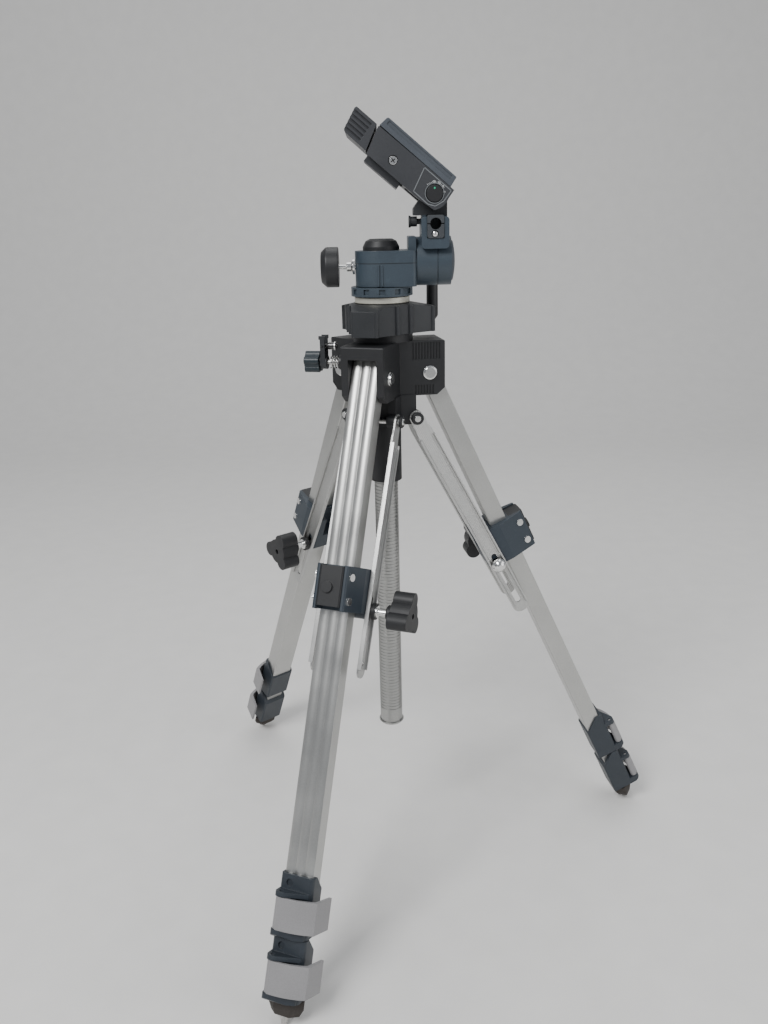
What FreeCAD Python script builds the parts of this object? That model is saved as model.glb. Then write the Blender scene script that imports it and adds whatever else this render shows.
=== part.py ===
import FreeCAD, Part
import math
import os
import Sketcher  # noqa: F401  (registers the sketch object type)

# A video tripod with a fluid pan and tilt head, legs collapsed and spread.
# The floor is Z = 0, the centre column stands on X = Y = 0, X runs along the head's
# tilt axis and -Y is the side that the operator stands on.  Millimetres throughout.

DIMENSIONS = {
    # legs: three telescopic sections of rounded rectangular tube
    "leg_reach": 528, "leg_pivot_radius": 37.5, "leg_spread": 24.73, "spike_tip": 2,
    "first_leg_azimuth": 249,
    "tube_wide": 24.5, "tube_deep": 17, "tube_wall": 1.4, "tube_head": 14, "tube_end": 425,
    "flute_depth": 0.9, "section_gap": 0.45, "middle_wall": 1.2,
    "middle_wide": 20.8, "middle_deep": 12.4, "middle_top": 30, "middle_end": 473.4,
    "lower_wide": 17.2, "lower_deep": 8.6, "lower_top": 48, "lower_end": 520,
    # leg locks with their flip levers
    "lock_top": 409, "lock_pitch": 48.6, "lock_tall": 48, "lock_back": 10, "lock_front": 11.5,
    "lock_half": 14.2, "lock_slope": 14, "lever_top": 16, "lever_tall": 25, "lever_play": 0.3,
    "lever_pin_x": 17, "lever_pin_y": -10, "lever_pin": 1.5, "lever_barrel": 3.4, "lever_wall": 2.4,
    "fit_play": 0.06,
    # feet
    "foot_top": 506.2, "foot_tall": 12.5, "foot_half": 16, "foot_deep": 9, "spike": 3,
    # leg braces
    "brace_pivot_radius": 25, "brace_drop": 39, "brace_length": 220.9, "brace_width": 15.5,
    "brace_inside": 20.2, "brace_web": 1.6, "brace_lip": 2, "brace_lip_top": 20,
    "brace_head": 6.3, "slot_wide": 5.2, "slot_low": 210.4, "slot_high": 152.6,
    "clamp_along": 194.3, "clamp_inward": 18.65, "clamp_bolt": 2.3, "clamp_dome": 6.9,
    "clamp_hole": 5.8, "clamp_washer": 7, "clamp_sleeve": 3,
    "collar_top": 160, "collar_tall": 37, "collar_back": 26.4, "collar_front": 23,
    "collar_half": 19.8, "collar_nose": 13.6, "knob_reach": 12.4, "knob_lobe": 7.2,
    "knob_thick": 17, "knob_hub": 7,
    # spider casting that carries the legs
    "spider_top": 509.2, "cheek_low": 462, "cheek_out": 19, "cheek_in": 12.7, "cheek_reach": 51,
    "slot_ceiling": 498.4, "hub": 20, "skirt_low": 436, "lug_half": 19.9, "lug_round": 6,
    "pivot_bolt": 3.5, "pivot_head": 6, "pivot_head_thick": 3,
    # column and its crank
    "column": 10.9, "column_bore": 7.4, "column_low": 131.6, "column_play": 0.4,
    "guide": 14.5, "guide_low": 383, "cap_tall": 12, "cap_radius": 12.2,
    "rack_azimuth": 258, "rack_pitch": 3.3, "rack_low": 146, "rack_high": 512, "rack_depth": 0.6,
    "crank_height": 491.5, "pinion": 3.9, "pinion_teeth": 8, "crank_shaft": 2.2, "boss_end": 35.5, "arm_start": 46.6,
    "handle_rise": 14, "handle_round": 3.2, "lock_knob": 9.6,
    # shoulder above the spider
    "shoulder_low": 516, "shoulder_top": 540.8, "shoulder_reach": 44.5, "shoulder_end": 9.5,
    "shoulder_waist": 28.4, "shoulder_rib": 1.9,
    # head: base disc, drag ring, pan housing
    "disc_low": 541.2, "disc_tall": 5.4, "disc": 23.7, "ring_low": 547.1, "ring_tall": 7.4,
    "ring": 26.4, "ring_notches": 12, "pan_low": 555, "pan_top": 584, "pan_radius": 22.3,
    "flange_left": 22.5, "flange_right": 29.2, "flange_top": 595, "pan_cap": 15.5,
    "pan_knob": 16.6, "pan_knob_thick": 15, "pan_knob_z": 571,
    # tilt drum and arm
    "tilt_z": 574.5, "drum": 20, "drum_left": 29.6, "drum_right": 58.8, "dome_reach": 3.6,
    "arm_left": 33.3, "arm_right": 56.2, "arm_front": 24, "arm_back": -2, "arm_low": 588,
    "arm_top": 610, "socket": 4.6, "socket_x": 45, "socket_z": 604.6, "socket_deep": 20,
    # flip-up platform
    "flip_x": 44, "flip_z": 627.8, "flip_angle": 40, "body_half": 26, "body_low": 11.3,
    "body_high": 11.7, "body_end": 66, "pad_thick": 8.6, "pad_start": -7, "pad_end": 66,
    "grip_end": 89, "neck_half": 12, "neck_play": 0.35, "screw_radius": 3.175,
    "screw_sunk": 0.3, "screw_along": 29.5,
}

LEGS = {"front_leg": 0, "right_leg": 120, "rear_leg": 240}
X_AXIS = FreeCAD.Vector(1, 0, 0)
Y_AXIS = FreeCAD.Vector(0, 1, 0)
Z_AXIS = FreeCAD.Vector(0, 0, 1)

doc = FreeCAD.newDocument("tripod")
sheet = doc.addObject("Spreadsheet::Sheet", "Sizes")
for row, (alias, number) in enumerate(DIMENSIONS.items(), start=1):
    sheet.set(f"A{row}", alias.replace("_", " "))
    sheet.set(f"B{row}", str(number))
    sheet.setAlias(f"B{row}", alias)
doc.recompute()


class Size:
    """A length together with the spreadsheet formula that it comes from."""

    def __init__(self, number, formula=None):
        self.number = float(number)
        self.formula = formula or f"({number})"

    @staticmethod
    def of(other):
        return other if isinstance(other, Size) else Size(other)

    def __float__(self):
        return self.number

    def __add__(self, other):
        other = Size.of(other)
        return Size(self.number + other.number, f"({self.formula} + {other.formula})")

    def __sub__(self, other):
        other = Size.of(other)
        return Size(self.number - other.number, f"({self.formula} - {other.formula})")

    def __mul__(self, other):
        other = Size.of(other)
        return Size(self.number * other.number, f"({self.formula} * {other.formula})")

    def __truediv__(self, other):
        other = Size.of(other)
        return Size(self.number / other.number, f"({self.formula} / {other.formula})")

    def __radd__(self, other):
        return Size.of(other) + self

    def __rsub__(self, other):
        return Size.of(other) - self

    def __rmul__(self, other):
        return Size.of(other) * self

    def __neg__(self):
        return Size(0) - self


class Cells:
    """Reads a cell of the spreadsheet by its alias, as a Size."""

    def __getattr__(self, alias):
        return Size(float(sheet.get(alias)), f"Sizes.{alias}")


S = Cells()
nodes = []


# ---------------------------------------------------------------- building blocks

def vector(x, y, z):
    return FreeCAD.Vector(float(x), float(y), float(z))


def turn(axis, degrees):
    return FreeCAD.Rotation(axis, float(degrees))


def polar(radius, degrees, z=0):
    """The point at a radius and azimuth round the column."""
    angle = math.radians(float(degrees))
    return vector(float(radius) * math.cos(angle), float(radius) * math.sin(angle), z)


def bind(obj, **formulas):
    for prop, amount in formulas.items():
        obj.setExpression(prop, Size.of(amount).formula)


def bind_base(obj, x, y, z):
    for letter, amount in zip("xyz", (x, y, z)):
        obj.setExpression(f"Placement.Base.{letter}", Size.of(amount).formula)


def box(x0, x1, y0, y1, z0, z1):
    """A box between two limits on each axis."""
    block = doc.addObject("Part::Box", "Block")
    lows = [Size.of(v) for v in (x0, y0, z0)]
    highs = [Size.of(v) for v in (x1, y1, z1)]
    bind(block, Length=highs[0] - lows[0], Width=highs[1] - lows[1], Height=highs[2] - lows[2])
    bind_base(block, *lows)
    return block


def rod(radius, length, start=(0, 0, 0), axis=Z_AXIS):
    """A cylinder that runs from a start point along an axis."""
    round_bar = doc.addObject("Part::Cylinder", "Rod")
    round_bar.Placement.Rotation = FreeCAD.Rotation(Z_AXIS, axis)
    bind(round_bar, Radius=radius, Height=length)
    bind_base(round_bar, *start)
    return round_bar


def cone(radius_start, radius_end, length, start=(0, 0, 0), axis=Z_AXIS):
    taper = doc.addObject("Part::Cone", "Taper")
    taper.Placement.Rotation = FreeCAD.Rotation(Z_AXIS, axis)
    bind(taper, Radius1=radius_start, Radius2=radius_end, Height=length)
    bind_base(taper, *start)
    return taper


def ball(radius, centre):
    sphere = doc.addObject("Part::Sphere", "Ball")
    bind(sphere, Radius=radius)
    bind_base(sphere, *centre)
    return sphere


def fuse(*shapes):
    union = doc.addObject("Part::MultiFuse", "Union")
    union.Shapes = list(shapes)
    union.Refine = True
    return union


def common(first, second):
    overlap = doc.addObject("Part::Common", "Overlap")
    overlap.Base = first
    overlap.Tool = second
    return overlap


def group(*shapes):
    """Separate solids that are kept together, unjoined."""
    bundle = doc.addObject("Part::Compound", "Bundle")
    bundle.Links = list(shapes)
    return bundle


def cut(base, *tools):
    difference = doc.addObject("Part::Cut", "Difference")
    difference.Base = base
    difference.Tool = tools[0] if len(tools) == 1 else group(*tools)
    return difference


def moved(shape, place):
    """The same shape somewhere else, as a one-member group with a placement."""
    carrier = group(shape)
    carrier.Placement = place
    return carrier


def corner_edges(corners):
    """Straight edges between corners (x, y, fillet radius); ("via", x, y) makes an arc."""
    stops = []
    bend = None
    for corner in corners:
        if corner[0] == "via":
            bend = vector(corner[1], corner[2], 0)
            continue
        radius = corner[2] if len(corner) > 2 else 0
        stops.append([vector(corner[0], corner[1], 0), float(radius), bend])
        bend = None
    if bend is not None:
        stops[0][2] = bend
    count = len(stops)
    edges = []
    starts = []
    ends = []
    fillets = []
    for index, (point, radius, _) in enumerate(stops):
        before = stops[index - 1][0]
        after = stops[(index + 1) % count][0]
        if radius == 0:
            starts.append(point)
            ends.append(point)
            fillets.append(None)
            continue
        back = (before - point).normalize()
        ahead = (after - point).normalize()
        half_angle = back.getAngle(ahead) / 2
        tangent = radius / math.tan(half_angle)
        middle = (back + ahead).normalize()
        centre = point + middle * (radius / math.sin(half_angle))
        ends.append(point + back * tangent)
        starts.append(point + ahead * tangent)
        fillets.append(centre - middle * radius)
    for index in range(count):
        following = (index + 1) % count
        if fillets[index] is not None:
            edges.append(Part.Arc(ends[index], fillets[index], starts[index]))
        bow = stops[following][2]
        if bow is not None:
            edges.append(Part.Arc(starts[index], bow, ends[following]))
        elif starts[index].distanceToPoint(ends[following]) > 1e-6:
            edges.append(Part.LineSegment(starts[index], ends[following]))
    return edges


def sketch_on(body, role, loops):
    """A sketch of closed loops on one of the body's origin planes."""
    outline = body.newObject("Sketcher::SketchObject", "Outline")
    plane = next(p for p in body.Origin.OriginFeatures if p.Role == role)
    outline.AttachmentSupport = [(plane, "")]
    outline.MapMode = "FlatFace"
    for loop in loops:
        if loop[0] == "circle":
            centre = vector(loop[1], loop[2], 0)
            edge = outline.addGeometry(Part.Circle(centre, Z_AXIS, float(loop[3])))
            radius = outline.addConstraint(Sketcher.Constraint("Radius", edge, float(loop[3])))
            outline.setExpression(f"Constraints[{radius}]", Size.of(loop[3]).formula)
        else:
            outline.addGeometry(corner_edges(loop))
    return outline


def pad(loops, length, at=(0, 0, 0), rotation=None, taper=0):
    """A padded body: loops in its own XY plane, raised by a length along its own Z."""
    body = doc.addObject("PartDesign::Body", "Body")
    outline = sketch_on(body, "XY_Plane", loops)
    solid = body.newObject("PartDesign::Pad", "Raise")
    solid.Profile = outline
    solid.TaperAngle = taper
    bind(solid, Length=length)
    body.Placement.Rotation = rotation or FreeCAD.Rotation()
    bind_base(body, *at)
    return body


def turned(loops, at=(0, 0, 0), axis=Z_AXIS):
    """A turned body: loops of (radius, height) spun round the body's own Z."""
    body = doc.addObject("PartDesign::Body", "Body")
    outline = sketch_on(body, "XZ_Plane", loops)
    spun = body.newObject("PartDesign::Revolution", "Spin")
    spun.Profile = outline
    spun.ReferenceAxis = (outline, ["V_Axis"])
    spun.Angle = 360
    body.Placement.Rotation = FreeCAD.Rotation(Z_AXIS, axis)
    bind_base(body, *at)
    return body


def dome_edge(radius, base, top, facets=4):
    """The corners of a faceted spherical cap with a small flat crown, for a turned outline."""
    rim, low, high = float(radius), float(base), float(top)
    centre = (high ** 2 - low ** 2 - rim ** 2) / (2 * (high - low))
    reach = high - centre
    full = math.atan2(rim, low - centre)
    steps = [full * (facets - index) / (facets + 0.5) for index in range(facets)]
    corners = [(reach * math.sin(angle), centre + reach * math.cos(angle)) for angle in steps]
    return [(rim, low), *corners, (0, corners[-1][1])]


def ring_of(tool, count, centre=(0, 0, 0), axis=Z_AXIS):
    """Copies of a tool spread evenly round an axis."""
    copies = []
    for index in range(int(float(count))):
        swing = FreeCAD.Placement(vector(0, 0, 0), turn(axis, 360 * index / float(count)),
                                  vector(*centre))
        copies.append(moved(tool, swing))
    return copies


def node(label, shape, place=None):
    """Names a finished sub-part and puts it where it belongs."""
    part = moved(shape, place) if place is not None else shape
    part.Label = label
    nodes.append(part)
    return part


def rectangle(x0, x1, y0, y1, radius=0):
    return [(x0, y0, radius), (x1, y0, radius), (x1, y1, radius), (x0, y1, radius)]


# Placement that stands a body drawn in XY up, so that its Y becomes Z and it grows along -Y.
UPRIGHT = turn(X_AXIS, 90)


# ---------------------------------------------------------------- frames of the legs

leg_height = float(S.leg_reach) * math.cos(math.radians(float(S.leg_spread))) + float(S.spike_tip)


def leg_frame(azimuth):
    """Leg frame: pivot at the origin, X outwards, Y round the column, -Z along the leg."""
    tilt = turn(Z_AXIS, azimuth).multiply(turn(Y_AXIS, -float(S.leg_spread)))
    return FreeCAD.Placement(polar(S.leg_pivot_radius, azimuth, leg_height), tilt)


def clamp_offset():
    """The clamp bolt seen from the brace pivot, as (outwards, upwards)."""
    spread = math.radians(float(S.leg_spread))
    along, inward = float(S.clamp_along), float(S.clamp_inward)
    out = float(S.leg_pivot_radius) + along * math.sin(spread) - inward * math.cos(spread)
    rise = float(S.brace_drop) - along * math.cos(spread) - inward * math.sin(spread)
    return out - float(S.brace_pivot_radius), rise


clamp_out, clamp_rise = clamp_offset()
clamp_distance = math.hypot(clamp_out, clamp_rise)
brace_angle = math.degrees(math.atan2(clamp_out, -clamp_rise))


def brace_frame(azimuth):
    """Brace frame: brace pivot at the origin, X outwards, -Z along the brace."""
    tilt = turn(Z_AXIS, azimuth).multiply(turn(Y_AXIS, -brace_angle))
    height = leg_height - float(S.brace_drop)
    return FreeCAD.Placement(polar(S.brace_pivot_radius, azimuth, height), tilt)


# ---------------------------------------------------------------- leg tubes

def fluted_outline(back, front, half, depth, flutes=3):
    """A tube outline whose outer face has shallow crowned flutes."""
    corners = [(back, -half, 1.2), (front - depth, -half)]
    band = half * 2 / flutes
    for index in range(flutes):
        corners.append(("via", front, band * (index + 0.5) - half))
        corners.append((front - depth, band * (index + 1) - half))
    corners.append((back, half, 1.2))
    return corners


def upper_tube():
    half = S.tube_wide / 2
    back = -(S.tube_deep / 2)
    front = S.tube_deep / 2
    wall = S.tube_wall
    outside = fluted_outline(back, front, half, S.flute_depth)
    inside = rectangle(back + wall, front - S.flute_depth - wall, wall - half, half - wall, 1)
    tube = pad([outside, inside], S.tube_head + S.tube_end, (0, 0, -S.tube_end))
    pivot_hole = rod(S.pivot_bolt + S.fit_play, S.tube_wide, (0, -half, 0), Y_AXIS)
    return cut(tube, pivot_hole)


def middle_limits():
    """Back and front faces of the middle tube, inside the upper one."""
    back = S.tube_wall - S.tube_deep / 2 + S.section_gap
    return back, back + S.middle_deep


def middle_tube():
    back, front = middle_limits()
    half = S.middle_wide / 2
    wall = S.middle_wall
    outside = fluted_outline(back, front, half, S.flute_depth / 2, 2)
    inside = rectangle(back + wall, front - wall - S.flute_depth / 2, wall - half, half - wall, 1)
    return pad([outside, inside], S.middle_end - S.middle_top, (0, 0, -S.middle_end))


def lower_limits():
    back = middle_limits()[0] + S.middle_wall + S.section_gap
    return back, back + S.lower_deep


def lower_tube():
    """The innermost tube with the steel spike that stands in its foot plug."""
    back, front = lower_limits()
    half = S.lower_wide / 2
    wall = S.middle_wall
    inside = rectangle(back + wall, front - wall, wall - half, half - wall, 0.6)
    tube = pad([rectangle(back, front, -half, half, 1), inside], S.lower_end - S.lower_top,
               (0, 0, -S.lower_end))
    stem = turned([[(0, 0), (S.spike_tip, 0), (S.spike, 5), (S.spike, 20), (0, 20)]],
                  (0, 0, -S.leg_reach))
    spike = fuse(stem, ball(S.spike_tip, (0, 0, -S.leg_reach)))
    return group(tube, spike)


# ---------------------------------------------------------------- leg locks

def lock_lug(low, high):
    """The sloping shelf that carries one end of the lever's hinge pin."""
    outline = [(5, -S.lock_half, 0), (20.8, -S.lock_half, 3.6), (21.2, -7, 3), (12.4, 12.6, 2), (5, 12.6, 0)]
    return pad([outline], high - low, (0, 0, low))


def leg_lock(held, sliding):
    """A lock housing: it grips one tube and guides the tube that slides in it.

    The two tubes are given as (back, front, half width).  Z = 0 is the housing's top.
    """
    block = pad([[(-S.lock_back, -S.lock_half, 2), (S.lock_front, -S.lock_half, 2.5),
                  (S.lock_front, S.lock_half, 4), (-S.lock_back, S.lock_half, 2)]],
                S.lock_tall, (0, 0, -S.lock_tall))
    lever_low = -(S.lever_top + S.lever_tall)
    top_lug = lock_lug(-S.lever_top + S.lever_play, -S.lever_top + 4)
    low_lug = lock_lug(-S.lock_tall, lever_low - S.lever_play)
    # the inner side of the rim slopes away from the outer side
    slope = pad([[(-S.lock_back - 1, -S.lock_slope), (4, 0), (4, 3), (-S.lock_back - 1, 3)]],
                S.lock_half * 2 + 2, (0, S.lock_half + 1, 0), UPRIGHT)
    # the shelf below the lever is cut back underneath
    undercut = pad([[(14, -S.lock_tall - 1), (24, -S.lock_tall - 1), (24, lever_low - 2)]],
                   S.lock_half * 2 + 2, (0, S.lock_half + 1, 0), UPRIGHT)
    grip = pad([rectangle(held[0], held[1], -held[2], held[2], 0.3)], S.lever_top + 1,
               (0, 0, -S.lever_top))
    gap = S.section_gap
    guide = pad([rectangle(sliding[0] - gap, sliding[1] + gap, -sliding[2] - gap, sliding[2] + gap, 0.8)],
                S.lock_tall + 2, (0, 0, -S.lock_tall - 1))
    pin_hole = rod(S.lever_pin + S.fit_play, S.lock_tall, (S.lever_pin_x, S.lever_pin_y, -S.lock_tall + 2.5))
    screw_well = rod(2.8, 3, (S.lock_front - 1.6, -6, -6.5), X_AXIS)
    return cut(fuse(block, top_lug, low_lug), slope, undercut, grip, guide, pin_hole, screw_well)


def lock_lever():
    """The flip lever: a hinge barrel, a bowed strap and a tab that wraps the far side."""
    wall = S.lever_wall
    strap = [(18.6, -12.4), (21.6, -9.4, 1.2), ("via", 19.9, 7), (14.3, 21.2), (-5, 25.2),
             (-5, 25.2 - wall), (14.3 - wall, 20.9 - wall), ("via", 19.8 - wall, 6), (18.8, -7)]
    low = -(S.lever_top + S.lever_tall)
    band = pad([strap], S.lever_tall, (0, 0, low))
    barrel = rod(S.lever_barrel, S.lever_tall, (S.lever_pin_x, S.lever_pin_y, low))
    pin = rod(S.lever_pin, S.lever_tall + 6, (S.lever_pin_x, S.lever_pin_y, low - 3))
    return fuse(band, barrel, pin)


def foot():
    """An elongated six-sided rubber foot that narrows towards the spike."""
    half, deep = S.foot_half, S.foot_deep
    outline = [(-deep, -half * 0.45, 1.5), (0, -half, 1.5), (deep, -half * 0.45, 1.5),
               (deep, half * 0.45, 1.5), (0, half, 1.5), (-deep, half * 0.45, 1.5)]
    shank = pad([outline], S.foot_tall * 0.55, (0, 0, -S.foot_top - S.foot_tall * 0.55))
    toe = pad([outline], S.foot_tall * 0.45, (0, 0, -S.foot_top - S.foot_tall * 0.55),
              turn(X_AXIS, 180), -24)
    back, front = lower_limits()
    socket = box(back, front, -S.lower_wide / 2, S.lower_wide / 2, -S.lower_end, -S.foot_top + 1)
    bore = rod(S.spike, S.foot_tall + 4, (0, 0, -S.leg_reach))
    return cut(fuse(shank, toe), socket, bore)


# ---------------------------------------------------------------- braces

def brace_bars():
    """Two slotted channel bars, one each side of the leg, drawn in the brace frame."""
    bars = []
    half = S.brace_width / 2
    outline = [(-half, -S.brace_length, 7.2), (half, -S.brace_length, 7.2), (half, -S.brace_lip_top),
               (S.brace_head, -9), (S.brace_head, S.brace_head, 6.1), (-S.brace_head, S.brace_head, 6.1),
               (-S.brace_head, -9), (-half, -S.brace_lip_top)]
    lip_tall = S.brace_length - S.brace_lip_top - 7.2
    lip_low = -S.brace_length + 7.2
    reach = S.brace_web + S.brace_lip
    for side in (1, -1):
        inner = S.brace_inside if side > 0 else -S.brace_inside - reach
        web_start = inner if side > 0 else inner + S.brace_lip
        web = pad([outline], S.brace_web, (0, web_start + S.brace_web, 0), UPRIGHT)
        lips = [box(x0, x1, inner, inner + reach, lip_low, lip_low + lip_tall)
                for x0, x1 in ((-half, 1.5 - half), (half - 1.5, half))]
        slot = pad([rectangle(-S.slot_wide / 2, S.slot_wide / 2, -S.slot_low, -S.slot_high, 2.5)],
                   S.brace_web + 2, (0, web_start + S.brace_web + 1, 0), UPRIGHT)
        eye = rod(S.pivot_bolt - 1 + S.fit_play, reach + 2, (0, inner - 1, 0), Y_AXIS)
        bars.append(cut(fuse(web, *lips), slot, eye))
    return group(*bars)


def clamp_bolt():
    """A carriage bolt through both bars, with its washer and spacer sleeve."""
    reach = S.brace_inside + S.brace_web + S.brace_lip + 0.3
    shank = rod(S.clamp_bolt, reach + 50, (0, -reach, 0), Y_AXIS)
    dome = turned([[(0, 0), (S.clamp_dome, 0), *dome_edge(S.clamp_dome, 1.2, 6.2)]],
                  (0, -reach, 0), -Y_AXIS)
    bolt = fuse(shank, dome)
    washer = turned([[(S.clamp_bolt, 0), (S.clamp_washer, 0), (S.clamp_washer, 3.2), (S.clamp_bolt, 3.2)]],
                    (0, reach, 0), Y_AXIS)
    sleeve = turned([[(S.clamp_bolt, 0), (S.clamp_sleeve + 2, 0), (S.clamp_sleeve + 2, 1.4), (S.clamp_sleeve, 1.4),
                      (S.clamp_sleeve, 9.5), (S.clamp_bolt, 9.5)]], (0, reach + 3.2, 0), Y_AXIS)
    return group(bolt, washer, sleeve)


def clamp_knob():
    """A three-lobed knob on the bolt's threaded end."""
    start = S.brace_inside + S.brace_web + S.brace_lip + 13.3
    hub = turned([[(0, 0), (S.knob_hub - 1, 0), (S.knob_hub, 1), (S.knob_hub, 8), (0, 8)]],
                 (0, start, 0), Y_AXIS)
    body_start = start + 5.5
    core = rod(S.knob_reach, S.knob_thick, (0, body_start, 0), Y_AXIS)
    lobe = rod(S.knob_lobe, S.knob_thick, (0, body_start, S.knob_reach), Y_AXIS)
    bore = rod(S.clamp_bolt + S.fit_play, 34, (0, start - 1, 0), Y_AXIS)
    return cut(fuse(hub, core, *ring_of(lobe, 3, axis=Y_AXIS)), bore)


def brace_collar():
    """The collar round the upper tube, its nose block and its four screws."""
    half = S.collar_half
    low = -(S.collar_top + S.collar_tall)
    outline = [(-S.collar_back, -half, 2), (-2, -half, 3), (S.collar_front, -S.collar_nose, 2),
               (S.collar_front, S.collar_nose, 2), (-2, half, 3), (-S.collar_back, half, 2)]
    block = pad([outline], S.collar_tall, (0, 0, low))
    clamp = (-S.clamp_inward, -half, -S.clamp_along)
    boss = rod(7.6, half * 2, clamp, Y_AXIS)
    hole = rod(S.clamp_hole, half * 2 + 2, (clamp[0], -half - 1, clamp[2]), Y_AXIS)
    tube = pad([fluted_outline(-(S.tube_deep / 2), S.tube_deep / 2, S.tube_wide / 2, S.flute_depth)],
               S.collar_tall + 2, (0, 0, low - 1))
    nose_space = box(S.tube_deep / 2 + 2, S.collar_front + 1, -10.7, 10.7, low - 1, low + S.collar_tall + 1)
    lug_space = box(-S.collar_back - 1, -S.tube_deep / 2 - 3, -12, 12, low + 16, low + S.collar_tall + 1)
    body = cut(fuse(block, boss), hole, tube, nose_space, lug_space)
    nose = pad([rectangle(S.tube_deep / 2 + 2, S.collar_front + 1.6, -10.5, 10.5, 2)], S.collar_tall - 4,
               (0, 0, low + 3))
    button = rod(4.8, 2, (S.collar_front + 1.4, -2, low + S.collar_tall * 0.5), X_AXIS)
    slant = math.degrees(math.atan2(float(half) - float(S.collar_nose), float(S.collar_front) + 2))
    screws = []
    for side in (1, -1):
        outwards = turn(Z_AXIS, -side * slant).multVec(Y_AXIS * side)
        seat = S.collar_nose + math.tan(math.radians(slant)) * 6 - 0.6
        for rise in (5.6, 25):
            screws.append(rod(3.2, 2, (S.collar_front - 6, seat * side, low + rise + 3), outwards))
    return group(body, fuse(nose, button), *screws)


# ---------------------------------------------------------------- spider casting

def leg_slot():
    """Room for one leg's tube, from its folded to its widest spread."""
    return box(S.hub - 0.5, S.cheek_reach + 2, -S.cheek_in, S.cheek_in, S.skirt_low - 2, S.slot_ceiling)


def spider():
    """The casting: a hub, three pairs of cheeks, and a skirt of brace lugs."""
    cheek_z = leg_height
    brace_z = leg_height - float(S.brace_drop)
    arms = []
    tools = [rod(S.column + S.column_play, 100, (0, 0, S.skirt_low - 10))]
    for step in LEGS.values():
        swing = FreeCAD.Placement(vector(0, 0, 0), turn(Z_AXIS, step + float(S.first_leg_azimuth)))
        cheeks = pad([[(0, S.cheek_low), (S.cheek_reach - 7, S.cheek_low), (S.cheek_reach, S.cheek_low + 6),
                       (S.cheek_reach, S.spider_top, 1.5), (0, S.spider_top)]],
                     S.cheek_out * 2, (0, S.cheek_out, 0), UPRIGHT)
        lug = pad([[(0, S.skirt_low + 1), (S.brace_pivot_radius, brace_z - S.lug_round),
                    ("via", S.brace_pivot_radius + S.lug_round, brace_z),
                    (S.brace_pivot_radius, brace_z + S.lug_round), (S.brace_pivot_radius, S.cheek_low + 1),
                    (0, S.cheek_low + 1)]], S.lug_half * 2, (0, S.lug_half, 0), UPRIGHT)
        arms.append(moved(fuse(cheeks, lug), swing))
        slot = leg_slot()
        bolt = rod(S.pivot_bolt, S.cheek_out * 2 + 2, (S.leg_pivot_radius, -S.cheek_out - 1, cheek_z), Y_AXIS)
        screw = rod(S.pivot_bolt - 1, S.lug_half * 2 + 2, (S.brace_pivot_radius, -S.lug_half - 1, brace_z), Y_AXIS)
        ribs = [box(22 + 2.6 * index, 23.3 + 2.6 * index, -S.cheek_out - 1, 0.8 - S.cheek_out,
                    S.spider_top - 16, S.spider_top - 1.5) for index in range(10)]
        low_ribs = [box(24 + 2.6 * index, 25.3 + 2.6 * index, -S.cheek_out - 1, 0.8 - S.cheek_out,
                        S.cheek_low + 1, S.cheek_low + 9) for index in range(7)]
        tools.append(moved(group(slot, bolt, screw, *ribs, *low_ribs), swing))
    hub = rod(S.hub, S.spider_top - S.skirt_low, (0, 0, S.skirt_low))
    crank_axis = turn(Z_AXIS, S.rack_azimuth - 90).multVec(X_AXIS)
    crank_root = crank_origin()
    bearing = rod(6.5, S.boss_end - 8, tuple(crank_root + crank_axis * 8), crank_axis)
    tools.append(rod(S.crank_shaft + S.fit_play, 60, tuple(crank_root - crank_axis * 8), crank_axis))
    tools.append(rod(S.pinion + 0.4, 11.2, tuple(crank_root - crank_axis * 5.6), crank_axis))
    shoulder_seat = rod(26, S.shoulder_low - S.spider_top + 0.4, (0, 0, S.spider_top - 0.4))
    return cut(fuse(hub, *arms, bearing, shoulder_seat), *tools)


def pivot_bolts():
    """Leg pivot bolts with their nuts, and the brace pivot screws with their bosses."""
    pieces = []
    brace_z = leg_height - float(S.brace_drop)
    for step in LEGS.values():
        swing = FreeCAD.Placement(vector(0, 0, 0), turn(Z_AXIS, step + float(S.first_leg_azimuth)))
        out = S.cheek_out
        bolt = rod(S.pivot_bolt, out * 2, (S.leg_pivot_radius, -out, leg_height), Y_AXIS)
        heads = [turned([[(0, 0), (S.pivot_head, 0), (S.pivot_head, 1.2), (S.pivot_head - 1, 1.4),
                          (S.pivot_head - 1.2, S.pivot_head_thick), (0, S.pivot_head_thick)]],
                        (S.leg_pivot_radius, out * side, leg_height), Y_AXIS * side) for side in (1, -1)]
        pieces.append(moved(fuse(bolt, *heads), swing))
        start = S.brace_inside + S.brace_web + S.brace_lip + 0.1
        shank = rod(S.pivot_bolt - 1, start * 2, (S.brace_pivot_radius, -start, brace_z), Y_AXIS)
        bosses = [turned([[(0, 0), (5.6, 0), (5.6, 1.6), (4.6, 2.6), (3, 2.6), (2.6, 3.4), (0, 3.4)]],
                         (S.brace_pivot_radius, start * side, brace_z), Y_AXIS * side) for side in (1, -1)]
        pieces.append(moved(fuse(shank, *bosses), swing))
    return group(*pieces)


def guide_sleeve():
    """The black guide bush that hangs below the casting round the column."""
    inner = S.column + S.column_play
    return turned([[(inner, S.guide_low), (S.guide, S.guide_low), (S.guide, S.skirt_low), (inner, S.skirt_low)]])


# ---------------------------------------------------------------- column and crank

def centre_column():
    """A tube ringed all round with the square teeth of its rack."""
    outside = [(S.column_bore, S.column_low), (S.column, S.column_low)]
    teeth = int((float(S.rack_high) - float(S.rack_low)) / float(S.rack_pitch))
    for index in range(teeth):
        low = S.rack_low + S.rack_pitch * index
        high = low + S.rack_pitch / 2
        outside += [(S.column, low), (S.column - S.rack_depth, low), (S.column - S.rack_depth, high), (S.column, high)]
    return turned([outside + [(S.column, S.disc_low), (S.column_bore, S.disc_low)]])


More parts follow.
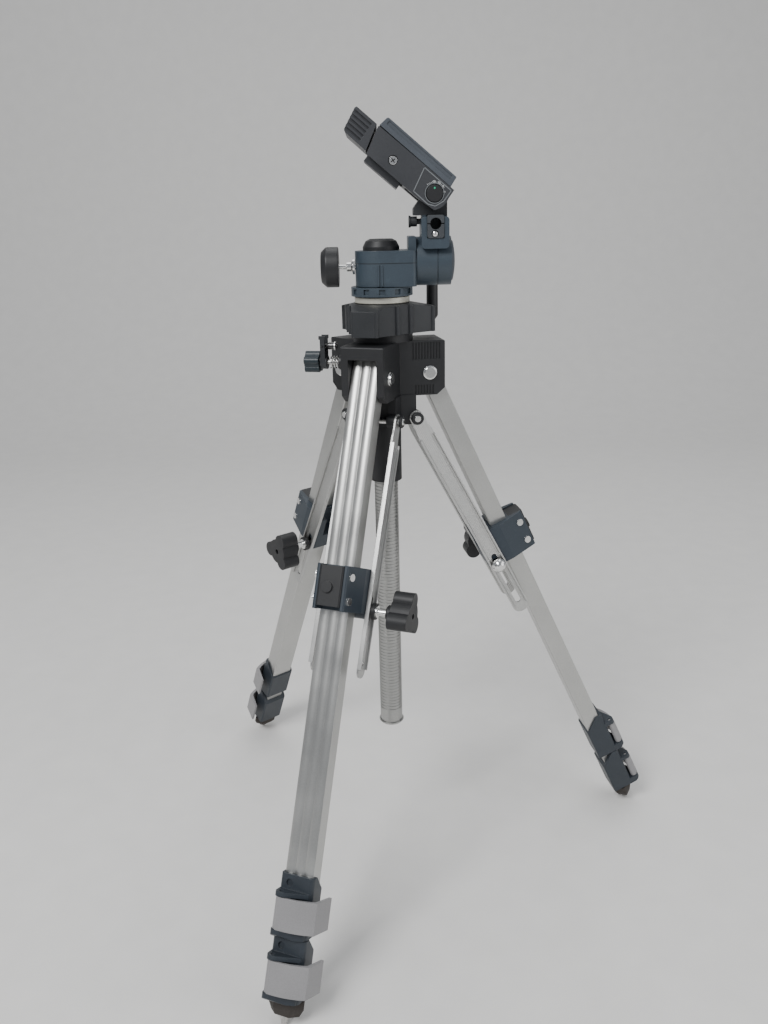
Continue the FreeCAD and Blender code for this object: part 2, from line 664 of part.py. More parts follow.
def column_cap():
    """A rimmed plug in the column's lower end."""
    low = S.column_low
    return turned([[(0, low + 14), (0, low - 2.5), (S.column, low - 2.5), (S.cap_radius, low - 1),
                    (S.cap_radius, low), (S.column_bore, low), (S.column_bore, low + 14)]])


def crank_origin():
    """Centre of the pinion, beside the rack."""
    return polar(S.column + S.pinion + 0.4, S.rack_azimuth, S.crank_height)


def crank_frame():
    """Crank frame: X runs along the crank shaft, away from the column."""
    return FreeCAD.Placement(crank_origin(), turn(Z_AXIS, S.rack_azimuth - 90))


def crank_shaft():
    """Pinion and shaft in one piece, with the pinion's teeth cut as straight gaps."""
    pinion = rod(S.pinion, 10.4, (-5.2, 0, 0), X_AXIS)
    shaft = rod(S.crank_shaft, 66, (-5.2, 0, 0), X_AXIS)
    gap = box(-6, 6, -0.6, 0.6, S.pinion - 1.3, S.pinion + 1)
    return cut(fuse(pinion, shaft), *ring_of(gap, S.pinion_teeth, axis=X_AXIS))


def crank_arm():
    """The arm keyed on the shaft, with a fork at its end for the folding handle."""
    start = S.arm_start
    hub = rod(6, 6, (start, 0, 0), X_AXIS)
    web = box(start + 0.8, start + 5, -5.9, 5.9, 0, S.handle_rise + 9)
    cap = box(start, start + 6, -5.9, 5.9, S.handle_rise + 6, S.handle_rise + 9)
    mouth = box(start - 1, start + 7, -4.1, 4.1, S.handle_rise - 4, S.handle_rise + 10)
    eye = rod(S.crank_shaft + S.fit_play, 8, (start - 1, 0, 0), X_AXIS)
    pin_hole = rod(1 + S.fit_play, 14, (start + 3, -7, S.handle_rise), Y_AXIS)
    return cut(fuse(hub, web, cap), mouth, eye, pin_hole)


def crank_handle():
    """The folding grip: an eye on its pin, a smooth roller, and a domed screw at the end."""
    hinge = (S.arm_start + 3, 0, S.handle_rise)
    eye = rod(2.6, 7.6, (hinge[0], -3.8, hinge[2]), Y_AXIS)
    pin = rod(1, 11.8, (hinge[0], -5.9, hinge[2]), Y_AXIS)
    neck = rod(1.9, 5, hinge, -X_AXIS)
    roller = turned([[(0, 4), (S.handle_round - 0.6, 4), (S.handle_round, 4.8), (S.handle_round, 9.4),
                      (S.handle_round + 0.6, 9.8), (S.handle_round + 0.6, 10.8), 
                      *dome_edge(S.handle_round - 0.3, 11, 12.8)]], hinge, -X_AXIS)
    return fuse(eye, pin, neck, roller)


def column_lock():
    """The column lock knob on the shaft's end, and the coil spring behind the arm."""
    start = S.arm_start + 6.4
    core = rod(S.lock_knob - 2, 13, (start, 0, 0), X_AXIS)
    lobe = rod(3.4, 13, (start, 0, S.lock_knob - 3.4), X_AXIS)
    bore = rod(S.crank_shaft + S.fit_play, 9, (start - 1, 0, 0), X_AXIS)
    return group(cut(fuse(core, *ring_of(lobe, 5, axis=X_AXIS)), bore), lock_spring())


def lock_spring():
    """The coil spring between the casting's boss and the crank arm."""
    coil_radius = 4.9
    path = Part.makeHelix(2.5, 7.6, coil_radius)
    start = Part.Wire([Part.makeCircle(0.65, vector(coil_radius, 0, 0), Y_AXIS)])
    spring = doc.addObject("Part::Feature", "Spring")
    spring.Shape = Part.Wire(path).makePipeShell([start], True, True)
    spring.Placement = FreeCAD.Placement(vector(S.boss_end + 1.1, 0, 0), FreeCAD.Rotation(Z_AXIS, X_AXIS))
    return spring


def shoulder():
    """The three-lobed ribbed shoulder between the casting and the head."""
    reach, half = S.shoulder_reach, S.shoulder_end
    corners = []
    waist = polar(S.shoulder_waist, 60)
    for step in (0, 120, 240):
        swing = turn(Z_AXIS, step)
        for x, y, radius in ((reach, -half, 2), (reach, half, 2)):
            point = swing.multVec(vector(x, y, 0))
            corners.append((point.x, point.y, radius))
        bend = swing.multVec(waist)
        corners.append(("via", bend.x, bend.y))
    plate = pad([corner_edges_free(corners)], S.shoulder_top - S.shoulder_low, (0, 0, S.shoulder_low))
    ribs = []
    for radius, angle in ((43.4, 13.5), (30, 46), (30, 74), (43.4, 106.5)):
        for step in (0, 120, 240):
            spot = polar(radius, angle + step)
            ribs.append(rod(S.shoulder_rib, S.shoulder_top - S.shoulder_low, (spot.x, spot.y, S.shoulder_low)))
    crown = cone(146.8, 26, S.shoulder_top - S.shoulder_low, (0, 0, S.shoulder_low))
    solid = common(fuse(plate, *ribs), crown)
    bore = rod(S.column + S.column_play, 40, (0, 0, S.shoulder_low - 2))
    seat = rod(3.4, 3, (0, 0, S.shoulder_low - 1))
    return moved(cut(solid, bore, seat), FreeCAD.Placement(vector(0, 0, 0), turn(Z_AXIS, S.first_leg_azimuth)))


def corner_edges_free(corners):
    """Drops the fillets beside arcs, which the edge maker keeps for straight runs only."""
    return [corner if corner[0] == "via" else corner[:2] for corner in corners]


# ---------------------------------------------------------------- head

def base_disc():
    low = S.disc_low
    return turned([[(0, low), (S.disc - 0.6, low), (S.disc, low + 0.6), (S.disc, low + S.disc_tall - 0.6),
                    (S.disc - 0.6, low + S.disc_tall), (0, low + S.disc_tall)]])


def drag_ring():
    """The notched friction ring under the pan housing."""
    low = S.ring_low
    blank = turned([[(12, low), (S.ring, low), (S.ring, low + S.ring_tall), (12, low + S.ring_tall)]])
    notch = box(S.ring - 1.6, S.ring + 2, -2.6, 2.6, low + 1.8, low + S.ring_tall - 1.2)
    return cut(blank, *ring_of(notch, S.ring_notches))


def pan_housing():
    """The fixed half of the head, with its side flange, and the low round cap on top."""
    radius = S.pan_radius
    shell = pad([[(-2, -radius), (S.flange_right, -radius, 4), (S.flange_right, radius, 4), (-2, radius),
                  ("via", -radius, 0)]], S.pan_top - S.pan_low, (0, 0, S.pan_low))
    flange = pad([[(S.flange_left, S.pan_low), (S.flange_right, S.pan_low), (S.flange_right, S.flange_top, 1),
                   (S.flange_left, S.flange_top, 1)]], 36, (0, 18, 0), UPRIGHT)
    drum_face = rod(S.drum, S.flange_right - S.flange_left, (S.flange_left, 0, S.tilt_z), X_AXIS)
    spigot = rod(11.8, 9, (0, 0, S.ring_low - 0.1))
    knob_bore = rod(S.clamp_bolt + S.fit_play, 20, (-30, 0, S.pan_knob_z), X_AXIS)
    axle_bore = rod(8 + S.fit_play, 14, (18, 0, S.tilt_z), X_AXIS)
    lever_bore = rod(3 + S.fit_play, 12, (20, 14, S.pan_low + 5), turn(Z_AXIS, 42).multVec(X_AXIS))
    ribs = [box(x, x + 1.4, -radius - 0.9, -radius + 1, S.pan_low + 0.5, 573) for x in (-3.4, -0.4)]
    shell = cut(fuse(shell, flange, common(drum_face, box(20, 32, -25, 25, 550, 600)), *ribs, spigot),
                knob_bore, axle_bore, lever_bore)
    cap = turned([[(0, S.pan_top), (S.pan_cap, S.pan_top), (S.pan_cap, S.pan_top + 3), (S.pan_cap - 2.4, S.pan_top + 7.6),
                   (S.pan_cap - 6, S.pan_top + 9.4), (0, S.pan_top + 9.4)]], (0, 0, 0))
    return group(shell, cap)


def pan_knob():
    """The pan lock: a domed round knob on a bolt with two collars."""
    thick = S.pan_knob_thick
    face = -(S.pan_radius + 14)
    knob = turned([[(0, 0), (S.pan_knob, 0, 0.8), (S.pan_knob, thick * 0.7, 2), (S.pan_knob - 4, thick, 3), (0, thick)]],
                  (face, 0, S.pan_knob_z), -X_AXIS)
    stem = turned([[(0, -9), (S.clamp_bolt, -9), (S.clamp_bolt, 0.4), (6.4, 0.4), (6.4, 2.2), (3.9, 3.4), (3.9, 7.2),
                    (1.8, 7.6), (1.8, 16), (0, 16)]], (-S.pan_radius, 0, S.pan_knob_z), -X_AXIS)
    return fuse(knob, stem)


def tilt_drum():
    """The drum that turns on the pan housing's side, with its axle and domed end cap."""
    right = S.drum_right
    half = rod(S.drum, right - S.drum_left, (S.drum_left, 0, S.tilt_z), X_AXIS)
    seam = turned([[(S.drum - 0.6, 17), (S.drum + 1, 17), (S.drum + 1, 18), (S.drum - 0.6, 18)]],
                  (S.drum_left, 0, S.tilt_z), X_AXIS)
    axle = rod(8, 10, (S.drum_left - 10, 0, S.tilt_z), X_AXIS)
    dome = turned([[(0, 0), (S.drum - 3, 0), *dome_edge(S.drum - 4, 1.6, S.dome_reach)]],
                  (right, 0, S.tilt_z), X_AXIS)
    return group(fuse(cut(half, seam), axle), dome)


def tilt_arm():
    """The arm on the drum: a block round the handle socket, and the neck of the flip hinge."""
    left, right = S.arm_left, S.arm_right
    block = pad([rectangle(left, right, S.arm_low - 3, S.arm_top, 3)], S.arm_front + 14, (0, 14, 0), UPRIGHT)
    drum_space = rod(S.drum, right - left + 4, (left - 2, 0, S.tilt_z), X_AXIS)
    disc = rod(S.body_low - 0.4, S.neck_half * 2, (S.flip_x, -S.neck_half, S.flip_z), Y_AXIS)
    neck = pad([[(left + 1, S.arm_top - 8), (right - 1, S.arm_top - 8), (right - 1, S.flip_z - 2),
                 (S.flip_x - 10, S.flip_z - 2), (left - 6, S.arm_top + 7, 2), (left - 6, S.arm_top + 1.2, 1),
                 (left + 1, S.arm_top + 1.2)]], S.neck_half * 2,
               (0, S.neck_half, 0), UPRIGHT)
    insert = box(37.9, 51.9, -S.arm_front - 2, -2, 593.2, 611.6)
    hinge_bore = rod(3 + S.fit_play, 30, (S.flip_x, -15, S.flip_z), Y_AXIS)
    stud_bore = rod(S.clamp_bolt + S.fit_play, 8, (left - 1, -3, 606.5), X_AXIS)
    return cut(fuse(block, disc, neck), drum_space, insert, hinge_bore, stud_bore)


def handle_clamp():
    """The square clamp block with the pan handle's socket, and its screw."""
    block = pad([rectangle(38, 51.8, 593.3, 611.4, 2)], S.arm_front - 7, (0, -8, 0), UPRIGHT)
    hole = rod(S.socket, S.socket_deep, (S.socket_x, -S.arm_front - 2, S.socket_z), Y_AXIS)
    split = box(37, 53, -S.arm_front - 2, -10, S.socket_z - 0.4, S.socket_z + 0.4)
    seat = rod(2.9, 3.2, (44.4, -S.arm_front - 1.2, 596.6), Y_AXIS)
    screw = turned([[(0, 0), (2.8, 0), *dome_edge(2.8, 1.6, 3)]], (44.4, -S.arm_front + 1.9, 596.6), -Y_AXIS)
    return group(cut(block, hole, split, seat), screw)


def flip_stud():
    """The small push stud on the arm's left side that frees the flip hinge."""
    return turned([[(0, 0), (S.clamp_bolt, 0), (S.clamp_bolt, 7), (4.1, 7), (4.1, 12.4), (4.8, 12.4), (4.8, 14), (0, 14)]],
                  (S.arm_left + 4.2, -3, 606.5), -X_AXIS)


def tilt_lever():
    """The tilt lock behind the drum: a screw and a hanging grip."""
    axis = turn(Z_AXIS, 42).multVec(X_AXIS)
    height = S.pan_low + 5
    screw = rod(3, 36, (20, 14, height), axis)
    tip = vector(20, 14, 0) + axis * 34
    grip = turned([[(0, 4), (3.5, 4), (5.2, 1, 1), (5.2, -35, 3), (3, -38), (0, -38)]], (tip.x, tip.y, height))
    return fuse(screw, grip)


# ---------------------------------------------------------------- platform

def platform_frame():
    """Platform frame: flip axis at the origin, X from the hinge to the grip, Z out of the pad."""
    angle = math.radians(float(S.flip_angle))
    lengthwise = vector(-math.cos(angle), 0, math.sin(angle))
    normal = vector(math.sin(angle), 0, math.cos(angle))
    across = normal.cross(lengthwise)
    return FreeCAD.Placement(vector(S.flip_x, 0, S.flip_z), FreeCAD.Rotation(lengthwise, across, normal))


def platform_body():
    """Two cheeks and a floor, with a slot for the arm's neck, and one cross-head screw."""
    low, high, half = S.body_low, S.body_high, S.body_half
    profile = [(-8, -low + 1.2), (6, -low), (61, -low, 1), (66.5, high - 0.6, 1), (-low + 0.5, high), (-low, 4),
               ("via", -low * 0.94, -6)]
    shell = pad([profile], half * 2, (0, half, 0), UPRIGHT)
    slot = box(-low - 2, 21, -S.neck_half - S.neck_play, S.neck_half + S.neck_play, -low - 2, high + 1)
    bore = rod(3, half * 2 + 2, (0, -half - 1, 0), Y_AXIS)
    dial_recess = rod(7.4, 3, (0, half - 2, 0), Y_AXIS)
    hollow = box(24, 58, -half + 3, half - 3, -low - 1, high - 3)
    frame = box(26, 60, -16, 16, -low - 5, high - 3.2)
    body = fuse(cut(shell, slot, bore, hollow), frame)
    screw_seat = rod(3.9, 1.6, (41.5, half - 1.2, -1.8), Y_AXIS)
    hinge_pin = rod(3, half * 2 - 4.5, (0, -half + 2, 0), Y_AXIS)
    screw = turned([[(0, 0), (3.7, 0), (3.7, 0.6), (3.1, 1.2), (0, 1.2)]], (41.5, half - 1.2, -1.8), Y_AXIS)
    return group(cut(body, screw_seat, dial_recess), screw, hinge_pin)


def dial_knob():
    """The round knob in the flip angle dial."""
    return turned([[(0, 0), (6.8, 0), (6.8, 2.6), (6.2, 3.4), (0, 3.4)]], (0, S.body_half - 1.9, 0), Y_AXIS)


def camera_plate():
    """The camera pad with its shallow side strip and screw slot."""
    low = S.body_high + 0.1
    blank = pad([[(S.pad_start, low), (S.pad_end, low), (S.pad_end - 1.5, low + S.pad_thick, 2),
                  (S.pad_start + 1, low + S.pad_thick, 1)]], S.body_half * 2, (0, S.body_half, 0), UPRIGHT)
    strips = [box(S.pad_start + 4, S.pad_end - 4, side - 0.7, side + 0.7, low + 4, low + 7)
              for side in (-S.body_half, S.body_half)]
    slot = pad([rectangle(16, 43, -S.screw_radius - 0.5, S.screw_radius + 0.5, 3)], S.pad_thick + 2, (0, 0, low - 1))
    return cut(blank, *strips, slot)


def camera_screw():
    """The quarter-inch camera screw, drawn back so that its tip is just under the pad."""
    tip = S.pad_thick - S.screw_sunk
    return turned([[(0, 0.3), (S.screw_radius, 0.3), (S.screw_radius, tip - 0.5), (S.screw_radius - 0.5, tip),
                    (0, tip)]], (S.screw_along, 0, S.body_high + 0.1))


def release_grip():
    """The ribbed release lever at the platform's end."""
    outline = [(62.8, -9.8), (86, -9.4, 3), (S.grip_end, 9, 1), (88.4, 11, 0.8), (68.3, 11)]
    solid = pad([outline], S.body_half * 2 - 1, (0, S.body_half - 0.5, 0), UPRIGHT)
    grooves = []
    for index in range(5):
        for side in (-S.body_half, S.body_half):
            height = -7.4 + 3.5 * index
            grooves.append(box(71, 90, side - 2.2, side + 2.2, height, height + 1.9))
    return cut(solid, *grooves)


# ---------------------------------------------------------------- assembly

def build_leg(name, azimuth):
    leg = leg_frame(azimuth)
    brace = brace_frame(azimuth)
    node(f"{name}_upper_tube", upper_tube(), leg)
    node(f"{name}_middle_tube", middle_tube(), leg)
    node(f"{name}_lower_tube", lower_tube(), leg)
    upper_tube_limits = (-(S.tube_deep / 2), S.tube_deep / 2, S.tube_wide / 2)
    middle = (*middle_limits(), S.middle_wide / 2)
    lower = (*lower_limits(), S.lower_wide / 2)
    for lock, held, sliding, drop in (("upper", upper_tube_limits, middle, S.lock_top),
                                      ("lower", middle, lower, S.lock_top + S.lock_pitch)):
        place = leg.multiply(FreeCAD.Placement(vector(0, 0, -drop), FreeCAD.Rotation()))
        node(f"{name}_{lock}_lock", leg_lock(held, sliding), place)
        node(f"{name}_{lock}_lever", lock_lever(), place)
    node(f"{name}_foot", foot(), leg)
    node(f"{name}_brace_collar", brace_collar(), leg)
    node(f"{name}_brace_bars", brace_bars(), brace)
    at_clamp = brace.multiply(FreeCAD.Placement(vector(0, 0, -clamp_distance), FreeCAD.Rotation()))
    node(f"{name}_clamp_bolt", clamp_bolt(), at_clamp)
    node(f"{name}_clamp_knob", clamp_knob(), at_clamp)


def build_centre():
    node("spider_casting", spider())
    node("pivot_bolts", pivot_bolts())
    node("column_guide_sleeve", guide_sleeve())
    node("centre_column", centre_column())
    node("column_end_cap", column_cap())
    node("shoulder", shoulder())
    crank = crank_frame()
    node("crank_shaft", crank_shaft(), crank)
    node("crank_arm", crank_arm(), crank)
    node("crank_handle", crank_handle(), crank)
    node("column_lock_knob", column_lock(), crank)


def build_head():
    node("base_disc", base_disc())
    node("drag_ring", drag_ring())
    node("pan_housing", pan_housing())
    node("pan_lock_knob", pan_knob())
    node("tilt_drum", tilt_drum())
    node("tilt_arm", tilt_arm())
    node("handle_clamp", handle_clamp())
    node("flip_stud", flip_stud())
    node("tilt_lock_lever", tilt_lever())
    platform = platform_frame()
    node("platform_body", platform_body(), platform)
    node("dial_knob", dial_knob(), platform)
    node("camera_plate", camera_plate(), platform)
    node("camera_screw", camera_screw(), platform)
    node("release_grip", release_grip(), platform)


def check_and_export():
    doc.recompute()
    broken = [obj.Name for obj in doc.Objects if "Invalid" in obj.State or "Error" in obj.State]
    if broken:
        raise RuntimeError(f"objects failed: {broken}")
    os.makedirs("parts", exist_ok=True)
    for part in nodes:
        shape = part.Shape
        if shape.isNull() or not shape.isValid() or not shape.Solids:
            raise RuntimeError(f"{part.Label} has no valid solid")
        shape.exportStep(f"parts/{part.Label}.step")
        extent = shape.BoundBox
        print(f"{part.Label}: {len(shape.Solids)} solids, {shape.Volume:.0f} mm3,"
              f" Z {extent.ZMin:.1f} to {extent.ZMax:.1f}")


for leg_name, swing_round in LEGS.items():
    build_leg(leg_name, float(S.first_leg_azimuth) + swing_round)
build_centre()
build_head()
check_and_export()
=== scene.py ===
import math

import bpy
from mathutils import Matrix, Vector


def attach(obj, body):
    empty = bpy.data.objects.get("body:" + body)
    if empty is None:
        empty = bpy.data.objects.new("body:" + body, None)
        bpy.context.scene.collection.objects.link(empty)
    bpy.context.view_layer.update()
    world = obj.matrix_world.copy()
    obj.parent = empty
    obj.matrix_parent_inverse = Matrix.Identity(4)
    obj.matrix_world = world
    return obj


MM = 0.001

# where the CAD part's arms and hinges stand, in millimetres and degrees; a pivot is
# its distance from the column's axis and its height
LEG_AZIMUTHS = {"front_leg": 249, "right_leg": 9, "rear_leg": 129}
LEG_SPREAD = 24.73
BRACE_SPREAD = 27.876
LEG_PIVOT = (37.5, 481.574)
BRACE_PIVOT = (25.0, 442.574)
FLIP_AXIS = (44.0, 0.0, 627.8)
FLIP_ANGLE = 40
CRANK_AZIMUTH = 168

# where one colour ends and the next starts on a CAD solid, in millimetres
SPIKE_TOP = -505
CLAMP_WASHER = (24, 27.4)
LEG_BOLTS_LOW = 462
BRACE_SCREW_HALF = 29
BRACE_SCREW_REACH = 9
BRACE_SCREW_CENTRE = 3.1
HANDLE_TIP = 40.4
PAN_CAP_LOW = 584.01
PAN_CAP_RIGHT = 22
PAN_KNOB_FACE = -36.2
DRUM_CAP_LEFT = 58.9
NECK_LOW = 611.2
NECK_STEP = (34, 610.2)
TILT_SCREW_LOW = 556
TILT_SCREW_BACK = 33

# the platform's cheek: its half width, its side screw, and the flip scale round the hinge
CHEEK = 26.0
SIDE_SCREW = (41.5, -1.8)
SCREW_SLOTS = ((2, 0.6), (-0.6, 2))
SLOT_WIDE = 0.8
PANEL_OUTLINE = [(-9.2, 9.8), (18.6, 9.8), (14.2, -9.4), (-1, -9.8), (-6.6, -7.2), (-9.6, 0)]
PANEL_RIM = 0.8
RIM_RISE = 0.28
TICKS = 13
FIRST_TICK = 100
TICK_PITCH = 7.5
TICK_START = 8.2
TICK_END = 8.9
LONG_TICK_END = 9.4
TICK_WIDE = 0.3
TICK_RISE = 0.12
FIGURE_RADIUS = 7.9
FIGURE_SHIFT = (0.6, 0.5)
FIGURE_SIZE = 0.75
FIGURE_RISE = 0.14
STROKE = 0.34
DIAL_RING = (7.3, 7.9)
RING_RISE = 0.5
DIAL_FACE = 27.5
INDEX_SPOT = (2.6, 3.1)
INDEX_RADIUS = 0.75
INDEX_RISE = 0.12

# surface grain and relief
BROAD_GRAIN = 28
SCUFF_GRAIN = 150
SEAM_SHADE = 0.25
COAT_ROUGHNESS = 0.15
BUMP_STRENGTH = 0.6
BUMP_DEPTH = 0.0004

# the studio, in metres: the floor runs back, curves up and ends as a wall
FLOOR_FRONT = -4.0
FLOOR_BACK = 1.6
FLOOR_CURVE = 0.8
FLOOR_SIDE = 5.0
WALL_TOP = 4.5
WORLD_TINT = (0.80, 0.83, 0.88, 1)
WORLD_STRENGTH = 0.42

# the point of view: where the camera stands in millimetres, and its right and up
EYE = (-2.78, -775.13, 609.54)
EYE_RIGHT = (0.99972, -0.00756, -0.02263)
EYE_UP = (0.02386, 0.31732, 0.94802)
FOCAL_LENGTH = 30.83
SENSOR_WIDTH = 36

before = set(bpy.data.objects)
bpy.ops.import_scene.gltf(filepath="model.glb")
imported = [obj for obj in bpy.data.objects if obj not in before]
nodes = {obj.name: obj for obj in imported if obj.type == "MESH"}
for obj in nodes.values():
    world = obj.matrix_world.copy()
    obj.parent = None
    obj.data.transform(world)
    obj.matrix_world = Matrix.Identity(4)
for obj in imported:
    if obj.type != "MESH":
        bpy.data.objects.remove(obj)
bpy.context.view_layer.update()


# ---------------------------------------------------------------- frames, in millimetres

def swing_frame(azimuth, spread, pivot):
    """The frame of a leg or brace: X outwards, Y round the column, -Z along the leg."""
    radius, height = pivot
    angle = math.radians(azimuth)
    place = Matrix.Translation((radius * math.cos(angle), radius * math.sin(angle), height))
    return place @ Matrix.Rotation(angle, 4, "Z") @ Matrix.Rotation(-math.radians(spread), 4, "Y")


def leg_frame(leg):
    return swing_frame(LEG_AZIMUTHS[leg], LEG_SPREAD, LEG_PIVOT)


def brace_frame(leg):
    return swing_frame(LEG_AZIMUTHS[leg], BRACE_SPREAD, BRACE_PIVOT)


def platform_frame():
    """X from the flip hinge to the grip, Y towards the operator, Z out of the pad."""
    angle = math.radians(FLIP_ANGLE)
    along = Vector((-math.cos(angle), 0, math.sin(angle)))
    out = Vector((math.sin(angle), 0, math.cos(angle)))
    across = out.cross(along)
    turn = Matrix((along, across, out)).transposed().to_4x4()
    return Matrix.Translation(FLIP_AXIS) @ turn


PLATFORM = platform_frame()


# ---------------------------------------------------------------- materials

def shade(name, color, roughness=0.5, metallic=0.0, grain=0.08, grain_size=900, bump=0.1,
          edge=0.4, coat=0.0, ribs=None, line=None, wear=0.0):
    """A procedural surface: tinted grain, uneven roughness, fine bumps and softened edges.

    ribs = (direction, pitch in mm, strength) adds parallel ribs across a direction;
    line = (direction, position in mm, width in mm) darkens a moulding seam;
    edge is the softened edges' radius in mm, and wear lightens scuffs.
    """
    material = bpy.data.materials.new(name)
    material.use_nodes = True
    tree = material.node_tree
    surface = tree.nodes["Principled BSDF"]
    surface.inputs["Metallic"].default_value = metallic
    surface.inputs["Coat Weight"].default_value = coat
    surface.inputs["Coat Roughness"].default_value = COAT_ROUGHNESS
    place = tree.nodes.new("ShaderNodeTexCoord").outputs["Object"]

    def noise(scale, detail):
        texture = tree.nodes.new("ShaderNodeTexNoise")
        texture.inputs["Scale"].default_value = scale
        texture.inputs["Detail"].default_value = detail
        tree.links.new(place, texture.inputs["Vector"])
        return texture.outputs["Fac"]

    def spread(source, low, high):
        ramp = tree.nodes.new("ShaderNodeMapRange")
        ramp.inputs["From Min"].default_value = 0.3
        ramp.inputs["From Max"].default_value = 0.7
        ramp.inputs["To Min"].default_value = low
        ramp.inputs["To Max"].default_value = high
        tree.links.new(source, ramp.inputs["Value"])
        return ramp.outputs["Result"]

    def compute(operation, *values):
        step = tree.nodes.new("ShaderNodeMath")
        step.operation = operation
        for socket, value in zip(step.inputs, values):
            if isinstance(value, (int, float)):
                socket.default_value = value
            else:
                tree.links.new(value, socket)
        return step.outputs[0]

    def along(direction):
        dot = tree.nodes.new("ShaderNodeVectorMath")
        dot.operation = "DOT_PRODUCT"
        dot.inputs[1].default_value = direction
        tree.links.new(place, dot.inputs[0])
        return dot.outputs["Value"]

    fine = noise(grain_size, 6)
    broad = noise(BROAD_GRAIN, 3)
    brightness = compute("MULTIPLY", spread(fine, 1 - grain, 1 + grain),
                         spread(broad, 1 - grain, 1 + grain))
    if wear:
        scuffs = spread(noise(SCUFF_GRAIN, 8), 0, 1)
        brightness = compute("ADD", brightness, compute("MULTIPLY", compute("POWER", scuffs, 6), wear))
    if line:
        direction, position, width = line
        gap = compute("ABSOLUTE", compute("SUBTRACT", along(direction), position * MM))
        outside = compute("GREATER_THAN", gap, width * MM / 2)
        seam = compute("ADD", SEAM_SHADE, compute("MULTIPLY", 1 - SEAM_SHADE, outside))
        brightness = compute("MULTIPLY", brightness, seam)
    tint = tree.nodes.new("ShaderNodeVectorMath")
    tint.operation = "SCALE"
    tint.inputs[0].default_value = color
    tree.links.new(brightness, tint.inputs["Scale"])
    tree.links.new(tint.outputs["Vector"], surface.inputs["Base Color"])
    uneven = spread(broad, roughness * 0.85, min(1, roughness * 1.15))
    tree.links.new(uneven, surface.inputs["Roughness"])

    height = compute("MULTIPLY", fine, bump)
    if ribs:
        direction, pitch, strength = ribs
        wave = compute("SINE", compute("MULTIPLY", along(direction), 2 * math.pi / (pitch * MM)))
        height = compute("ADD", height, compute("MULTIPLY", wave, strength))
    relief = tree.nodes.new("ShaderNodeBump")
    relief.inputs["Strength"].default_value = BUMP_STRENGTH
    relief.inputs["Distance"].default_value = BUMP_DEPTH
    tree.links.new(height, relief.inputs["Height"])
    if edge:
        soften = tree.nodes.new("ShaderNodeBevel")
        soften.samples = 6
        soften.inputs["Radius"].default_value = edge * MM
        tree.links.new(soften.outputs["Normal"], relief.inputs["Normal"])
    tree.links.new(relief.outputs["Normal"], surface.inputs["Normal"])
    return material


LEG_METAL = shade("leg_metal", (0.50, 0.50, 0.485), 0.33, 0.9, grain=0.05, bump=0.05, edge=0.5)
TUBE_METAL = shade("tube_metal", (0.40, 0.40, 0.39), 0.36, 0.9, grain=0.07, bump=0.05, edge=0.4)
SPIKE = shade("spike_steel", (0.55, 0.54, 0.52), 0.35, 0.9, grain=0.12, edge=0.3, wear=0.3)
CHROME = shade("bolt_chrome", (0.78, 0.78, 0.77), 0.16, 1.0, grain=0.03, bump=0.02, edge=0.3)
DISC = shade("disc_metal", (0.62, 0.60, 0.52), 0.42, 0.45, grain=0.05, bump=0.05, edge=0.4)
BLUE = shade("blue_plastic", (0.036, 0.052, 0.068), 0.42, bump=0.16, edge=0.6, wear=0.15)
PAN_BLUE = shade("pan_blue_plastic", (0.036, 0.052, 0.068), 0.42, bump=0.16, edge=0.6, wear=0.15,
                 line=((0, 0, 1), 574, 0.7))
COLLAR = shade("collar_plastic", (0.026, 0.037, 0.050), 0.45, bump=0.15, edge=0.6, wear=0.15)
LOCK = shade("lock_plastic", (0.023, 0.030, 0.039), 0.45, bump=0.16, edge=0.6, wear=0.2)
LEVER = shade("lever_plastic", (0.27, 0.265, 0.27), 0.42, bump=0.12, grain=0.05, edge=0.7)
BLACK = shade("black_plastic", (0.012, 0.0125, 0.014), 0.48, bump=0.22, edge=0.5, wear=0.12)
DARK = shade("dark_plastic", (0.022, 0.024, 0.027), 0.45, bump=0.2, edge=0.5, wear=0.12)
PLATFORM_GREY = shade("platform_plastic", (0.036, 0.038, 0.043), 0.45, bump=0.2, edge=0.5, wear=0.1)
INSERT = shade("insert_plastic", (0.045, 0.050, 0.056), 0.45, bump=0.15, edge=0.5)
PAD = shade("pad_plastic", (0.060, 0.070, 0.084), 0.5, bump=0.2, edge=0.7, wear=0.15)
GLOSS = shade("gloss_black", (0.008, 0.008, 0.009), 0.16, bump=0.02, edge=0.3, coat=0.6)
TEAL = shade("knob_teal_black", (0.010, 0.020, 0.027), 0.4, bump=0.15, edge=0.6)
RUBBER = shade("foot_rubber", (0.036, 0.030, 0.026), 0.75, grain=0.2, bump=0.3, edge=0.6, wear=0.25)
PRINT = shade("pale_print", (0.55, 0.56, 0.56), 0.6, grain=0.08, bump=0.05, edge=0)
GREEN = shade("green_mark", (0.02, 0.42, 0.22), 0.5, grain=0.08, bump=0.05, edge=0)
RIM = shade("panel_rim", (0.16, 0.17, 0.18), 0.5, bump=0.1, edge=0.2)
# painted shade: a near-black colour standing in for the shade inside the side screw's cross recess
PAINTED_RECESS_SHADE = shade("painted_recess_shade", (0.004, 0.004, 0.004), 0.8, grain=0.2, bump=0.1, edge=0)


# ---------------------------------------------------------------- painting the CAD nodes

def islands(mesh):
    """The number of the separate solid that each polygon belongs to."""
    keys = {}
    parent = []

    def root(index):
        while parent[index] != index:
            parent[index] = parent[parent[index]]
            index = parent[index]
        return index

    corner = []
    for vertex in mesh.vertices:
        key = tuple(round(c * 1e5) for c in vertex.co)
        if key not in keys:
            keys[key] = len(parent)
            parent.append(len(parent))
        corner.append(keys[key])
    for polygon in mesh.polygons:
        first = root(corner[polygon.vertices[0]])
        for index in polygon.vertices[1:]:
            parent[root(corner[index])] = first
    numbers = {}
    return [numbers.setdefault(root(corner[p.vertices[0]]), len(numbers)) for p in mesh.polygons]


